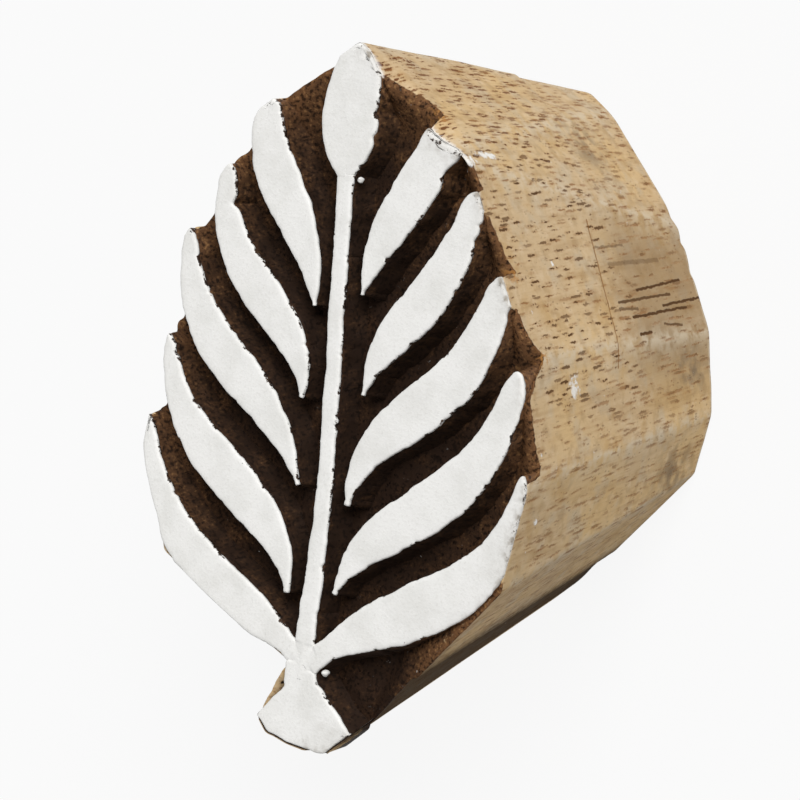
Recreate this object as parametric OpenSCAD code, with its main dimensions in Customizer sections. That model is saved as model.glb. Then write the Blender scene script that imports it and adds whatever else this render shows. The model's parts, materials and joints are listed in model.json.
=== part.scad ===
// Wooden textile printing block with a hand-carved leaf.
// The block lies on its back with the printing face up: Z = 0 is the flat back, +Y runs up the leaf
// from the foot to the bud, and +X is the right-hand half of the leaf. Sizes are in millimetres.

/* [Block] */
// Height of the leaf from the foot to the bud
leaf_height = 78; // [40:1:150]
// Thickness from the flat back to the printing face
block_depth = 45; // [20:1:80]

/* [Carving] */
// Depth of the carved ground below the printing face
relief_depth = 3.5; // [1:0.5:8]
// How far a carved wall slopes outwards on its way down to the ground
wall_draft = 0.7; // [0:0.1:1.5]
// Thickness of the white coat on the raised faces
coat_thickness = 0.3; // [0.1:0.05:1]

/* [Edges] */
// Worn bevel where the sawn sides meet the printing face
face_bevel = 0.5; // [0.1:0.1:2]
// Sanded bevel where the sawn sides meet the back
back_bevel = 0.7; // [0.1:0.1:3]

/* [Curves] */
// Steps along each edge of a leaflet
curve_steps = 16; // [6:1:40]

/* [Hidden] */
drawn_height = 78;
leaf_scale = leaf_height / drawn_height;
ground_z = block_depth - relief_depth;
wood_top_z = block_depth - coat_thickness;
// Depth by which a raised shape is rooted in the ground
rooting = 1;
stock_reach = 60 * leaf_scale;
saw_size = 4 * (stock_reach + block_depth);

wood_colour = [0.74, 0.60, 0.42];
coat_colour = [0.95, 0.94, 0.91];

// Flat saw cuts that shape the sides, read clockwise from the top of the leaf:
// [degrees from +X that the cut faces, reach from the leaf's centre at the printing face, lean in degrees]
saw_cuts = [
    [90, 39, 3.3],
    [54, 31.3, 0.5],
    [40, 29, 3.7],
    [25, 25.2, 2],
    [8, 25.2, 3.2],
    [-12, 26.8, 5.6],
    [-42, 29.4, 10.9],
    [-50, 31.8, 12.8],
    [-97, 38.8, 17],
    [-164, 27.3, 6],
    [171, 24.4, 4],
    [145, 28.3, 4],
    [121, 33.2, 2.5],
];

// Pairs of cuts, each taking away only the wood that lies beyond both: the notch between the lowest left
// leaflet and the foot, the left corner of the foot, and the worn end of the uppermost right leaflet
corner_cuts = [
    [[-119, 28.4, 8], [153, -9.6, 3]],
    [[-140, 29, 8], [-90, 31, 0]],
    [[67, 30.8, -32], [0, 8.5, 0]],
];

// Leaflets from the top down, each
// [root, pull at the root, pull at the tip, tip, greatest width, taper angle at the tip]
// where 90 degrees keeps the full width to the tip and 180 degrees closes to a point
right_leaflets = [
    [[3, 11.9], [4.4, 18.9], [8.5, 21.5], [13, 31], 5.1, 118],
    [[4.1, 1.1], [6.3, 10], [13.8, 10], [16.4, 24], 4.8, 152],
    [[3.3, -10.8], [4.3, 0.2], [18.2, -1.4], [20.7, 15.5], 5.3, 142],
    [[2.6, -20.9], [6, -10.4], [20.1, -12], [24.1, 6.4], 5.4, 158],
    [[-0.5, -29.3], [9.5, -20.2], [24.4, -21.5], [24.4, -4.1], 5.6, 178],
];
left_leaflets = [
    [[-3.3, 10.1], [-5.1, 21.1], [-12.4, 22.2], [-11.3, 31.8], 5.4, 149],
    [[-4.1, -0.2], [-3.4, 9.1], [-18.7, 11.5], [-16.1, 24.1], 4.8, 160],
    [[-3.4, -9.7], [-9.1, 3.3], [-20.8, 1.2], [-21.1, 16.6], 5.2, 162],
    [[-3.9, -21.6], [-5.1, -10.3], [-21.7, -10.8], [-23.1, 4.5], 5.4, 169],
    [[-0.5, -29], [-8.4, -22.2], [-22.7, -22.8], [-25.2, -5], 5, 166],
];

// The bud is drawn like a leaflet that swells early
bud = [[-0.4, 23.5], [-0.9, 28.5], [-0.6, 33.5], [0.9, 40.5], 7.3, 165];
leaflet_swell = 0.85;
bud_swell = 0.78;
// Half-width at the pointed root of a free leaflet, of a leaflet that joins the stem, and of the bud
free_root = 0.2;
joined_root = 1.3;
bud_root = 1;
// Share of the length over which a tip is rounded off
tip_round = 0.05;

stem_top = [-0.5, 25];
stem_foot = [-1.2, -31];
stem_half_top = 0.95;
stem_half_foot = 1.3;
stem_bend = [0.1, -10];

foot_neck = [-1.5, -29.5];
foot_neck_half = 1.6;
foot_end = [0, -38.8];
foot_half = 6.3;
// Share of the foot's height at which it is widest
foot_shoulder = 0.8;

function bezier(p, t) =
    p[0] * pow(1 - t, 3) + 3 * p[1] * t * pow(1 - t, 2) + 3 * p[2] * t * t * (1 - t) + p[3] * pow(t, 3);
function bezier_along(p, t) =
    (p[1] - p[0]) * pow(1 - t, 2) + 2 * (p[2] - p[1]) * t * (1 - t) + (p[3] - p[2]) * t * t;
function unit(v) = v / norm(v);
function left_of(v) = [-v[1], v[0]];

// Half-width of a leaflet at a share t of its length, with the tip rounded off
function tip_factor(t) = sqrt(max(0, 1 - pow(max(0, (t - 1 + tip_round) / tip_round), 2)));
function leaf_half(leaf, t, swell, root) =
    max(root * (1 - t), leaf[4] / 2 * sin(leaf[5] * pow(t, swell)) * tip_factor(t), free_root / 2);

// Stations crowd together towards the tip, where the edge turns
function station(i) = sin(90 * i / curve_steps);

// A point on one edge of a leaflet (side 1 or -1), moved out by the draft of the carved wall
function leaf_edge(leaf, t, side, swell, root, draft) =
    let (along = unit(bezier_along(leaf, t)), end_shift = t == 0 ? -draft : 0)
    bezier(leaf, t) + side * (leaf_half(leaf, t, swell, root) + draft) * left_of(along) + end_shift * along;

function leaf_outline(leaf, swell, root, draft) = leaf_scale * concat(
    [for (i = [0 : curve_steps]) leaf_edge(leaf, station(i), -1, swell, root, draft)],
    [for (i = [curve_steps : -1 : 0]) leaf_edge(leaf, station(i), 1, swell, root, draft)]);

function leaflet_outline(leaf, draft = 0) = leaf_outline(leaf, leaflet_swell, free_root, draft);
function joined_outline(leaf, draft = 0) = leaf_outline(leaf, leaflet_swell, joined_root, draft);
function bud_outline(draft = 0) = leaf_outline(bud, bud_swell, bud_root, draft);

function stem_outline(draft = 0) = leaf_scale * [
    stem_top + [-stem_half_top - draft, 0],
    stem_bend + [-stem_half_top - draft, 0],
    stem_foot + [-stem_half_foot - draft, 0],
    stem_foot + [stem_half_foot + draft, 0],
    stem_bend + [stem_half_top + draft, 0],
    stem_top + [stem_half_top + draft, 0],
];

// The foot spreads like a bell from the neck and ends in a shallow arc
foot_height = foot_neck[1] - foot_end[1];
function foot_side(u, side, draft) =
    let (share = u * foot_shoulder, half = foot_neck_half + (foot_half - foot_neck_half) * pow(u, 1.3))
    [foot_neck[0] * (1 - u) + side * (half + draft), foot_neck[1] - share * foot_height];
function foot_rim(a, draft) =
    [(foot_half + draft) * cos(a), foot_end[1] + foot_height * (1 - foot_shoulder) * (1 + sin(a)) - draft];
foot_steps = 6;
function foot_outline(draft = 0) = leaf_scale * concat(
    [for (i = [0 : foot_steps]) foot_side(i / foot_steps, -1, draft)],
    [for (i = [1 : foot_steps]) foot_rim(-180 + 180 * i / (foot_steps + 1), draft)],
    [for (i = [foot_steps : -1 : 0]) foot_side(i / foot_steps, 1, draft)]);

// Everything on the far side of one flat saw cut, starting at a given height with a given lean
module beyond_cut(direction, reach, height, lean) {
    rotate([0, 0, direction])
        translate([reach, 0, height])
            rotate([0, lean, 0])
                translate([0, -saw_size / 2, -saw_size / 2])
                    cube(saw_size);
}

// A side cut, which starts at the printing face
module side_cut(cut) {
    beyond_cut(cut[0], cut[1] * leaf_scale, block_depth, cut[2]);
}

// One sawn side with its worn bevel at the printing face and its sanded bevel at the back
module sawn_side(cut) {
    reach = cut[1] * leaf_scale;
    back_reach = reach - block_depth * tan(cut[2]);
    side_cut(cut);
    beyond_cut(cut[0], reach - face_bevel, block_depth, -45);
    beyond_cut(cut[0], back_reach - back_bevel, 0, 45);
}

// What is cut off at an inner or limited corner
module corner_cut(pair) {
    intersection() {
        side_cut(pair[0]);
        side_cut(pair[1]);
    }
}

module sawn_body() {
    difference() {
        translate([-stock_reach, -stock_reach, 0])
            cube([2 * stock_reach, 2 * stock_reach, block_depth]);
        for (cut = saw_cuts) {
            sawn_side(cut);
        }
        for (pair = corner_cuts) {
            corner_cut(pair);
        }
    }
}

// A raised shape whose walls run from its outline down to a wider outline in the ground
module raised(top, base) {
    n = len(top);
    points = concat(
        [for (p = base) [p[0], p[1], ground_z - rooting]],
        [for (p = top) [p[0], p[1], wood_top_z]]);
    // Each end is a strip of four-sided faces: point i on one edge faces point n - 1 - i on the other
    strips = [0 : n / 2 - 2];
    underside = [for (i = strips) [i, i + 1, n - 2 - i, n - 1 - i]];
    face = [for (i = strips) [2 * n - 1 - i, 2 * n - 2 - i, n + i + 1, n + i]];
    lower_half = [for (i = [0 : n - 1]) [i, n + i, (i + 1) % n]];
    upper_half = [for (i = [0 : n - 1]) [n + i, n + (i + 1) % n, (i + 1) % n]];
    polyhedron(points, concat(underside, face, lower_half, upper_half));
}

module raised_leaf() {
    for (i = [0 : 3]) {
        raised(leaflet_outline(right_leaflets[i]), leaflet_outline(right_leaflets[i], wall_draft));
        raised(leaflet_outline(left_leaflets[i]), leaflet_outline(left_leaflets[i], wall_draft));
    }
    raised(joined_outline(right_leaflets[4]), joined_outline(right_leaflets[4], wall_draft));
    raised(joined_outline(left_leaflets[4]), joined_outline(left_leaflets[4], wall_draft));
    raised(bud_outline(), bud_outline(wall_draft));
    raised(stem_outline(), stem_outline(wall_draft));
    raised(foot_outline(), foot_outline(wall_draft));
}

module coat_sheet(outline) {
    translate([0, 0, wood_top_z])
        linear_extrude(coat_thickness)
            polygon(outline);
}

module leaflet_coat(leaf) {
    color(coat_colour)
        intersection() {
            sawn_body();
            coat_sheet(leaflet_outline(leaf));
        }
}

module carved_block() {
    color(wood_colour)
        intersection() {
            sawn_body();
            union() {
                translate([-stock_reach, -stock_reach, 0])
                    cube([2 * stock_reach, 2 * stock_reach, ground_z]);
                raised_leaf();
            }
        }
}

module stem_coat() {
    color(coat_colour)
        intersection() {
            sawn_body();
            union() {
                coat_sheet(bud_outline());
                coat_sheet(stem_outline());
                coat_sheet(joined_outline(left_leaflets[4]));
                coat_sheet(joined_outline(right_leaflets[4]));
                coat_sheet(foot_outline());
            }
        }
}

module left_coat_1() {
    leaflet_coat(left_leaflets[0]);
}

module left_coat_2() {
    leaflet_coat(left_leaflets[1]);
}

module left_coat_3() {
    leaflet_coat(left_leaflets[2]);
}

module left_coat_4() {
    leaflet_coat(left_leaflets[3]);
}

module right_coat_1() {
    leaflet_coat(right_leaflets[0]);
}

module right_coat_2() {
    leaflet_coat(right_leaflets[1]);
}

module right_coat_3() {
    leaflet_coat(right_leaflets[2]);
}

module right_coat_4() {
    leaflet_coat(right_leaflets[3]);
}

carved_block();
stem_coat();
left_coat_1();
left_coat_2();
left_coat_3();
left_coat_4();
right_coat_1();
right_coat_2();
right_coat_3();
right_coat_4();
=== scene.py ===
# %% [markdown]
# # A hand-carved textile printing block
# The object is one piece of wood, sawn to the outline of a leaf, with flat sides that lean in towards
# the back. The leaf is carved in relief on the front, the hollows are stained dark, and white chalk is
# left on the raised faces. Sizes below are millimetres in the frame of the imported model: the flat back
# lies on z = 0, the printing face is at z = 45, and +y runs up the leaf. Points are divided by 1000 when
# a mesh is made, because Blender counts in metres.

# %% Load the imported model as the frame
import json

import bmesh
import bpy
import numpy as np
from mathutils import Matrix

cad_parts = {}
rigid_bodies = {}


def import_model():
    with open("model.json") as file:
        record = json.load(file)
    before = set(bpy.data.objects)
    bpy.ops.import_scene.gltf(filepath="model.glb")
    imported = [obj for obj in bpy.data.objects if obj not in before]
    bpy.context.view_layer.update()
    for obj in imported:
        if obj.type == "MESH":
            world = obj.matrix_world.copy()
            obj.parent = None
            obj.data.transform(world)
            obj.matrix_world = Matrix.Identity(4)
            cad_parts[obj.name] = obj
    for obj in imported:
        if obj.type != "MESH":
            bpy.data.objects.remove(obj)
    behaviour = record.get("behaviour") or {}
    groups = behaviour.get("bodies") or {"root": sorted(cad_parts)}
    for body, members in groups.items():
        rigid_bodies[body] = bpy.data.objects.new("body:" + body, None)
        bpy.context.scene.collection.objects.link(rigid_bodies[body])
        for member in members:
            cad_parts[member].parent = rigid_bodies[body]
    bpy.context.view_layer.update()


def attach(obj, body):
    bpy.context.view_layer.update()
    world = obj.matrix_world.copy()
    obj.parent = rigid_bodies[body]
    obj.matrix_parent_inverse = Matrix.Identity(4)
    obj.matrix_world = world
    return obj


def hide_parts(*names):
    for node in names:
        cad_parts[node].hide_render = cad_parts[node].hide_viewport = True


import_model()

# %% [markdown]
# ## A soft random field
# Nothing on the block is quite even, so many steps below need smooth random values: for rasped sides,
# scooped ground and rough walls. Noise textures would only colour a finished surface. Here random
# numbers sit on a cubic lattice and are blended in between, so they can move points, and every run gives
# the same values.

# %% Random field and smooth step
LATTICE = 32


def s_curve(f):
    """Smooth curve from 0 to 1: 3 f^2 - 2 f^3."""
    return f * f * (3 - 2 * f)


def ease(value, low, high):
    """Smooth step from 0 at low to 1 at high."""
    return s_curve(np.clip((value - low) / (high - low), 0, 1))


def cloud(points, size, seed):
    """Value noise from -1 to 1: random values on a cubic lattice of size mm, blended by the s-curve."""
    lattice = np.random.default_rng(seed).uniform(-1, 1, (LATTICE, LATTICE, LATTICE))
    place = points / size + 16 * LATTICE
    low = np.floor(place).astype(int)
    f = s_curve(place - low)
    total = np.zeros(points.shape[:-1])
    for corner in np.ndindex(2, 2, 2):
        share = np.prod(np.where(np.array(corner) == 1, f, 1 - f), -1)
        cell = (low + np.array(corner)) % LATTICE
        total += share * lattice[cell[..., 0], cell[..., 1], cell[..., 2]]
    return total


print("field at the origin:", round(float(cloud(np.zeros(3), 1.0, 0)), 3))

# %% [markdown]
# ## The sawn sides
# Each side of the real block is one flat saw cut. A modeller could cut a cube with planes, but then the
# edges stay razor sharp and there are no points on the sides to wear down. Here the sides are one
# function instead. Seen from a line up the middle of the block, the side in any direction is simply the
# nearest cut, so the distance to it is a minimum of simple fractions. A soft minimum rounds the edges a
# little, as handling does.

# %% Heights and saw cuts
FACE_Z = 45.0
RELIEF = 3.5
COAT = 0.3
WOOD_TOP = FACE_Z - COAT
GROUND_Z = FACE_Z - RELIEF

# Degrees from +x that the cut faces, reach from the leaf's centre at the printing face, lean in degrees
SAW_CUTS = [
    (90, 39, 3.3), (54, 31.3, 0.5), (40, 29, 3.7), (25, 25.2, 2), (8, 25.2, 3.2), (-12, 26.8, 5.6),
    (-42, 29.4, 10.9), (-50, 31.8, 12.8), (-97, 38.8, 17), (-164, 27.3, 6), (171, 24.4, 4),
    (145, 28.3, 4), (121, 33.2, 2.5),
]
# Pairs of cuts that take away only the wood beyond both: the notch above the foot, the foot's left corner
CORNER_CUTS = [((-119, 28.4, 8), (153, -9.6, 3)), ((-140, 29, 8), (-90, 31, 0))]
print("saw cuts:", len(SAW_CUTS), "and corner cuts:", len(CORNER_CUTS))

# %% Distance from the middle of the block to its sides
EDGE_SOFTNESS = 0.14
EDGE_RUB = 0.5
LEAST_COSINE = 0.02
FAR_AWAY = 500.0


def heart_at(z):
    """A straight line up the middle from which every side can be seen: x = 9, y = -14 - 8 z / FACE_Z."""
    return np.stack([np.full_like(z, 9.0), -14.0 - 8.0 * z / FACE_Z], -1)


def cut_distance(cut, theta, z):
    """Distance along a ray to one cut: (reach at z - heart along the facing) / cos(ray to facing)."""
    facing = np.radians(cut[0])
    heart = heart_at(z)
    reach = cut[1] + (z - FACE_Z) * np.tan(np.radians(cut[2]))
    gap = reach - heart[..., 0] * np.cos(facing) - heart[..., 1] * np.sin(facing)
    towards = np.cos(theta - facing)
    return np.where(towards > LEAST_COSINE, gap / np.maximum(towards, LEAST_COSINE), FAR_AWAY)


def all_distances(theta, z):
    """Distance to every cut. A pair of corner cuts counts as the farther of the two."""
    corners = [np.maximum(cut_distance(a, theta, z), cut_distance(b, theta, z)) for a, b in CORNER_CUTS]
    return np.stack([cut_distance(cut, theta, z) for cut in SAW_CUTS] + corners)


def side_distance(theta, z):
    """Soft minimum over the cuts: m - k log(sum(exp((m - r) / k)))."""
    r = all_distances(theta, z)
    nearest = r.min(0)
    return nearest - EDGE_SOFTNESS * np.log(np.exp((nearest - r) / EDGE_SOFTNESS).sum(0))


def facet_edge(theta, z):
    """Nearness to an edge where two cuts meet: exp(-(second - nearest) / EDGE_RUB)."""
    r = np.sort(all_distances(theta, z), 0)
    return np.exp((r[0] - r[1]) / EDGE_RUB)


def with_z(flat, z):
    """Points in space from flat points and heights."""
    return np.concatenate([flat, z[..., None]], -1)


def side_point(theta, z, inset=0.0):
    """Point of the side in direction theta at height z, moved in by inset."""
    r = side_distance(theta, z) - inset
    return heart_at(z) + r[..., None] * np.stack([np.cos(theta), np.sin(theta)], -1)


print("distance to the right side:", round(float(side_distance(0.0, np.array(FACE_Z))), 2), "mm")

# %% [markdown]
# ## Worn sides
# The sides keep slight hollows left by rasping, and two shallow steps where saw cuts didn't quite meet.
# The back edge has been knocked. Between the bud and the first right leaflet the corner is worn to a
# bevel, and the left side is scooped between the leaflet tips. All of that only takes wood away, so it
# is one function that says how far the side is worn in.

# %% Wear of the sides
# Depths in mm
RASPED, SCRATCHED = 0.05, 0.02
RIGHT_STEP, TOP_STEP = 0.14, 0.3
LEFT_WEAR, LOW_WEAR = 0.35, 0.5
BEVEL = 1.7
# Height below the printing face at which the scoops and the bevel have run out
SCOOP_RUN, BEVEL_RUN = 9.0, 3.0
# Whatever stands farther right than this x is rubbed down, by RIGHT_RUB of what stands out
RIGHT_END, RIGHT_RUB = 25.85, 1.2
LONG_HOLLOWS = np.array([1, 1, 2.5])
# Knocks on the back edge: x, y, width, depth
BACK_KNOCKS = np.array([
    (14.8, 22.0, 1.2, 0.7), (16.4, 20.0, 0.9, 0.6), (18.3, 16.6, 1.0, 0.3), (-20, -8, 1.5, 0.5),
])
# Scoops between the left leaflet tips: y, half-width, depth
LEFT_SCOOPS = np.array([
    (27.6, 1.9, 1.1), (19.4, 1.9, 2.0), (8.4, 1.8, 1.3), (-2.2, 1.5, 1.2), (-18.6, 3.8, 0.5),
    (-29.2, 1.5, 1.0),
])


def run_out(z, run):
    """1 at the printing face, falling evenly to 0 at a depth of run below it."""
    return np.clip(1 - (FACE_Z - z) / run, 0, 1)


def knocks(flat, table):
    """Depth of knocks, from rows of (x, y, width, depth): sum of depth exp(-(distance / width)^2)."""
    gap = np.linalg.norm(flat[..., None, :] - table[:, :2], axis=-1)
    return (table[:, 3] * np.exp(-(gap / table[:, 2]) ** 2)).sum(-1)


def side_wear(theta, z):
    """Depth worn off the side, a sum of rasp hollows, saw steps, knocks on the back edge, rubbed left,
    lower and right sides, scoops depth exp(-((y - middle) / half-width)^4) and the bevel."""
    flat = side_point(theta, z)
    x, y = flat[..., 0], flat[..., 1]
    degrees = np.degrees(theta)
    place = with_z(flat, z)
    worn = RASPED * (1 + cloud(place / LONG_HOLLOWS, 3.5, 11)) + SCRATCHED * (1 + cloud(place, 1.1, 12))

    step_line = 23.4 - 0.07 * (y - 14)
    on_right = ease(x, 15, 18) * ease(y, 3, 6) * (1 - ease(y, 21, 24))
    worn += RIGHT_STEP * on_right * ease(step_line - z, -0.25, 0.25)
    worn += knocks(flat, BACK_KNOCKS) * np.exp(-np.maximum(z - 0.6, 0) / 0.8)
    worn += TOP_STEP * ease(y, 33, 35) * ease(15.5 - z, -0.4, 0.4)
    worn += LEFT_WEAR * ease(-x, 2, 5) * ease(-y, 11, 15) * ease(z, 36, 42)

    middle, half, depth = LEFT_SCOOPS.T
    scoop = (depth * np.exp(-((y[..., None] - middle) / half) ** 4)).sum(-1)
    worn += scoop * (x < 0) * run_out(z, SCOOP_RUN)
    worn += LOW_WEAR * ease(-degrees, 55, 65) * ease(degrees, -105, -90)
    worn += RIGHT_RUB * np.maximum(x - RIGHT_END, 0)
    corner = ease(x, 1.0, 3.5) * ease(x, 16.0, 10.5) * (y > 20)
    return worn + BEVEL * corner * run_out(z, BEVEL_RUN)


print("worn at the right side:", round(float(side_wear(np.zeros(1), np.full(1, 10.0))[0]), 3), "mm")

# %% [markdown]
# ## Trimming to the worn sides
# Whatever ends at a side, such as a leaflet, has to end at the worn surface and not at the clean cut. So
# points that stand out are pulled straight back towards the middle line, and top edges are rounded.

# %% Rounding and trimming
def rounding(below, radius):
    """How far a rounded edge stands back, a quarter circle: r - sqrt(r^2 - (r - below)^2)."""
    return radius * (1 - np.sqrt(1 - np.clip(1 - below / radius, 0, 1) ** 2))


def side_gap(points):
    """How far points lie inside the worn sides, with their offset from the middle line."""
    z = points[..., 2]
    away = points[..., :2] - heart_at(z)
    theta = np.arctan2(away[..., 1], away[..., 0])
    return side_distance(theta, z) - side_wear(theta, z) - np.linalg.norm(away, axis=-1), away


def trim(points, inset):
    """Pulls whatever lies outside the worn sides straight back towards the middle, to a given inset."""
    gap, away = side_gap(points)
    r = np.maximum(np.linalg.norm(away, axis=-1), 1e-6)
    kept = np.minimum(1.0, (r + gap - inset) / r)
    pulled = heart_at(points[..., 2]) + away * kept[..., None]
    return with_z(pulled, points[..., 2])


trimmed = trim(np.array([[60.0, -22, 44]]), 0.0)
print("a far point is trimmed to x =", round(float(trimmed[0, 0]), 2), "mm")

# %% [markdown]
# ## The drawing of the leaf
# The leaf has a bud, a stem, five leaflets on each side and a bell-shaped foot. A leaflet is drawn the
# way a carver draws it, as a curved middle line that swells and closes again. The middle line is a cubic
# curve with two pulls, and the half-width follows a sine, so each leaflet needs only four points, a
# width and a taper.

# %% Outlines of the leaflets and the bud
# Root, pull at the root, pull at the tip, tip, greatest width, taper angle at the tip
LEAFLETS = {
    "right_1": ([(3, 11.7), (4.3, 18.9), (8.1, 21), (12.9, 31)], 5.1, 124),
    "right_2": ([(4.2, 1), (6.3, 10), (13.6, 9.9), (16.6, 23.8)], 4.9, 151),
    "right_3": ([(3.3, -11), (4.3, 0.2), (18.1, -1.4), (20.8, 15.3)], 5.4, 147),
    "right_4": ([(2.6, -20.9), (6.4, -10.2), (20.5, -12), (23.6, 5.7)], 5.5, 157),
    "right_5": ([(-0.5, -29.5), (9.4, -20), (23.9, -21.6), (25.3, -5)], 5.9, 171),
    "left_1": ([(-3.2, 9.9), (-5, 21), (-12.5, 22.4), (-11.5, 32.1)], 5.5, 147),
    "left_2": ([(-4, -0.2), (-3.3, 9.1), (-18.8, 11.5), (-16.2, 24.3)], 4.9, 159),
    "left_3": ([(-3.5, -9.8), (-8.8, 3.2), (-21, 1.2), (-21.2, 16.8)], 5.3, 161),
    "left_4": ([(-3.9, -21.7), (-5, -10.2), (-21.8, -10.8), (-23.2, 4.7)], 5.5, 168),
    "left_5": ([(-0.8, -29.5), (-8, -22.4), (-22.4, -23.6), (-25.4, -4.8)], 5.5, 167),
    "bud": ([(-0.4, 23.5), (-0.8, 28), (-0.5, 34), (1.1, 41)], 7.3, 162),
}
# How early a shape swells, and its half-width at the root
LEAF_SWELL, BUD_SWELL = 0.85, 0.78
THIN_ROOT = 0.2
ROOT_HALF = {"right_5": 1.3, "left_5": 1.3, "bud": 1.0}
TIP_ROUND = 0.05
LEAST_HALF = 0.1


def leaf_edge(points, width, taper, swell, root):
    """Right edge out to the tip and left edge back: spine -/+ half * normal.
    The half-width is width / 2 * sin(taper * t^swell), rounded off at the tip."""
    t = np.sin(np.pi / 2 * np.linspace(0, 1, 500))[:, None]
    p = np.array(points, float)
    spine = p[0] * (1 - t) ** 3 + 3 * p[1] * t * (1 - t) ** 2 + 3 * p[2] * t * t * (1 - t) + p[3] * t ** 3
    along = (p[1] - p[0]) * (1 - t) ** 2 + 2 * (p[2] - p[1]) * t * (1 - t) + (p[3] - p[2]) * t * t
    along /= np.linalg.norm(along, axis=1)[:, None]
    normal = np.stack([-along[:, 1], along[:, 0]], 1)
    tip = np.sqrt(np.maximum(0, 1 - np.maximum(0, (t - 1 + TIP_ROUND) / TIP_ROUND) ** 2))
    half = width / 2 * np.sin(np.radians(taper * t ** swell)) * tip
    half = np.maximum(half, np.maximum(root * (1 - t), LEAST_HALF))
    path = np.vstack([spine - half * normal, (spine + half * normal)[::-1]])
    return path, np.vstack([spine, spine[::-1]])


edges = {}
for name, leaf in LEAFLETS.items():
    swell = BUD_SWELL if name == "bud" else LEAF_SWELL
    edges[name] = leaf_edge(*leaf, swell, ROOT_HALF.get(name, THIN_ROOT))
print("leaflets and bud drawn:", len(edges))

# %% [markdown]
# ## Stem and foot
# The stem is a thin strip with one bend. The foot is a bell below it, with a neck that reaches up
# between the lowest leaflets. Both are drawn through a few measured points, and a moving average takes
# the corners out of the lines between them.

# %% Outlines of the stem and the foot
# The stem from below to above: y, centre x, half-width
STEM = np.array([(-31, -1.1, 1.3), (-10, 0.2, 0.95), (25, -0.4, 0.95)])
# Edges of the foot going down from the neck: y, x. Below them half an ellipse of height FOOT_END follows
FOOT_LEFT = np.array([(-28.1, -2.5), (-29.5, -3.1), (-32.2, -3.1), (-35.6, -6.4), (-36, -6.6)])
FOOT_RIGHT = np.array([(-28.1, 0.3), (-29.5, 0.8), (-30.8, 1.05), (-36, 6.3)])
FOOT_END = 2.7
FOOT_HEART = -34.2


def smooth(values, window):
    """Moving average with the ends held."""
    return np.convolve(np.pad(values, window // 2, "edge"), np.ones(window) / window, "valid")


def stem_edge():
    """A long strip: centre and half-width run smoothly through the foot, the bend and the top."""
    y = np.linspace(STEM[0, 0], STEM[-1, 0], 400)
    centre = smooth(np.interp(y, STEM[:, 0], STEM[:, 1]), 41)
    half = np.interp(y, STEM[:, 0], STEM[:, 2])
    right = np.stack([centre + half, y], 1)
    left = np.stack([centre - half, y], 1)
    spine = np.stack([centre, y], 1)
    return np.vstack([right, left[::-1]]), np.vstack([spine, spine[::-1]])


def foot_edge():
    """A bell: both edges run straight down the neck and then spread, and the end is half an ellipse."""
    y = np.linspace(FOOT_LEFT[0, 0], FOOT_LEFT[-1, 0], 190)
    left_x = smooth(np.interp(-y, -FOOT_LEFT[:, 0], FOOT_LEFT[:, 1]), 15)
    right_x = smooth(np.interp(-y, -FOOT_RIGHT[:, 0], FOOT_RIGHT[:, 1]), 15)
    turn = np.linspace(-np.pi, 0, 160)[1:-1]
    middle = (left_x[-1] + right_x[-1]) / 2
    half = (right_x[-1] - left_x[-1]) / 2
    end = np.stack([middle + half * np.cos(turn), y[-1] + FOOT_END * np.sin(turn)], 1)
    heart_y = np.maximum(y, FOOT_HEART)
    spine = np.stack([np.interp(-heart_y, -y, (left_x + right_x) / 2), heart_y], 1)
    path = np.vstack([np.stack([left_x, y], 1), end, np.stack([right_x, y], 1)[::-1]])
    return path, np.vstack([spine, np.repeat(spine[-1:], len(end), 0), spine[::-1]])


edges["stem"] = stem_edge()
edges["foot"] = foot_edge()
print("outlines drawn:", len(edges))

# %% [markdown]
# ## Even steps
# The drawn outlines have points that crowd together at the tips. Roughness has to be the same all round,
# so each outline is first walked in even steps, together with the middle line that belongs to it.

# %% Evenly spaced outlines and their normals
EDGE_STEP = 0.13


def even_steps(path, partner, step):
    """Resamples a closed path at even arc length, with a partner path that runs along with it."""
    path = np.vstack([path, path[:1]])
    partner = np.vstack([partner, partner[:1]])
    run = np.r_[0, np.hypot(*np.diff(path, axis=0).T).cumsum()]
    at = np.linspace(0, run[-1], int(run[-1] / step), endpoint=False)
    return [np.stack([np.interp(at, run, line[:, k]) for k in (0, 1)], 1) for line in (path, partner)]


def outward(path):
    """Unit normals of an anticlockwise closed path: the tangent turned a quarter turn clockwise."""
    tangent = np.roll(path, -1, 0) - np.roll(path, 1, 0)
    tangent /= np.maximum(np.linalg.norm(tangent, axis=1), 1e-9)[:, None]
    return np.stack([tangent[:, 1], -tangent[:, 0]], 1)


even_edges = {name: even_steps(*edge, EDGE_STEP) for name, edge in edges.items()}
print("points on the outlines:", sum(len(path) for path, _ in even_edges.values()))

# %% [markdown]
# ## Hand-cut edges
# A chisel never leaves a clean curve. The outline of each raised shape wanders by about a tenth of a
# millimetre, and here and there a crumb of wood has broken out, mostly on the lower right edges. Random
# values are set at even distances round the outline and joined smoothly. They come from seeded
# generators, so every run gives the same block.

# %% Roughened outlines
# Waves of a cut edge as (depth, length), and its chips as (one in so many mm, depth, width)
WOOD_WAVES = [(0.06, 2.2), (0.022, 0.7)]
WOOD_CHIPS = (7.0, 0.2, 0.45)
CHIPPED_WAY = np.array([0.55, -0.55])
# Single knocks that show on the face, and one spread corner with a depth below 0: x, y, width, depth
FACE_KNOCKS = np.array([
    (5.0, 23.4, 0.6, 0.4), (-15.2, 20.1, 0.55, 0.9), (2.9, 31.3, 0.7, 0.45), (21.5, 11.6, 0.6, 0.35),
    (14.7, 27.0, 0.9, -1.0), (13.2, 25.0, 1.1, 0.8),
])


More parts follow.
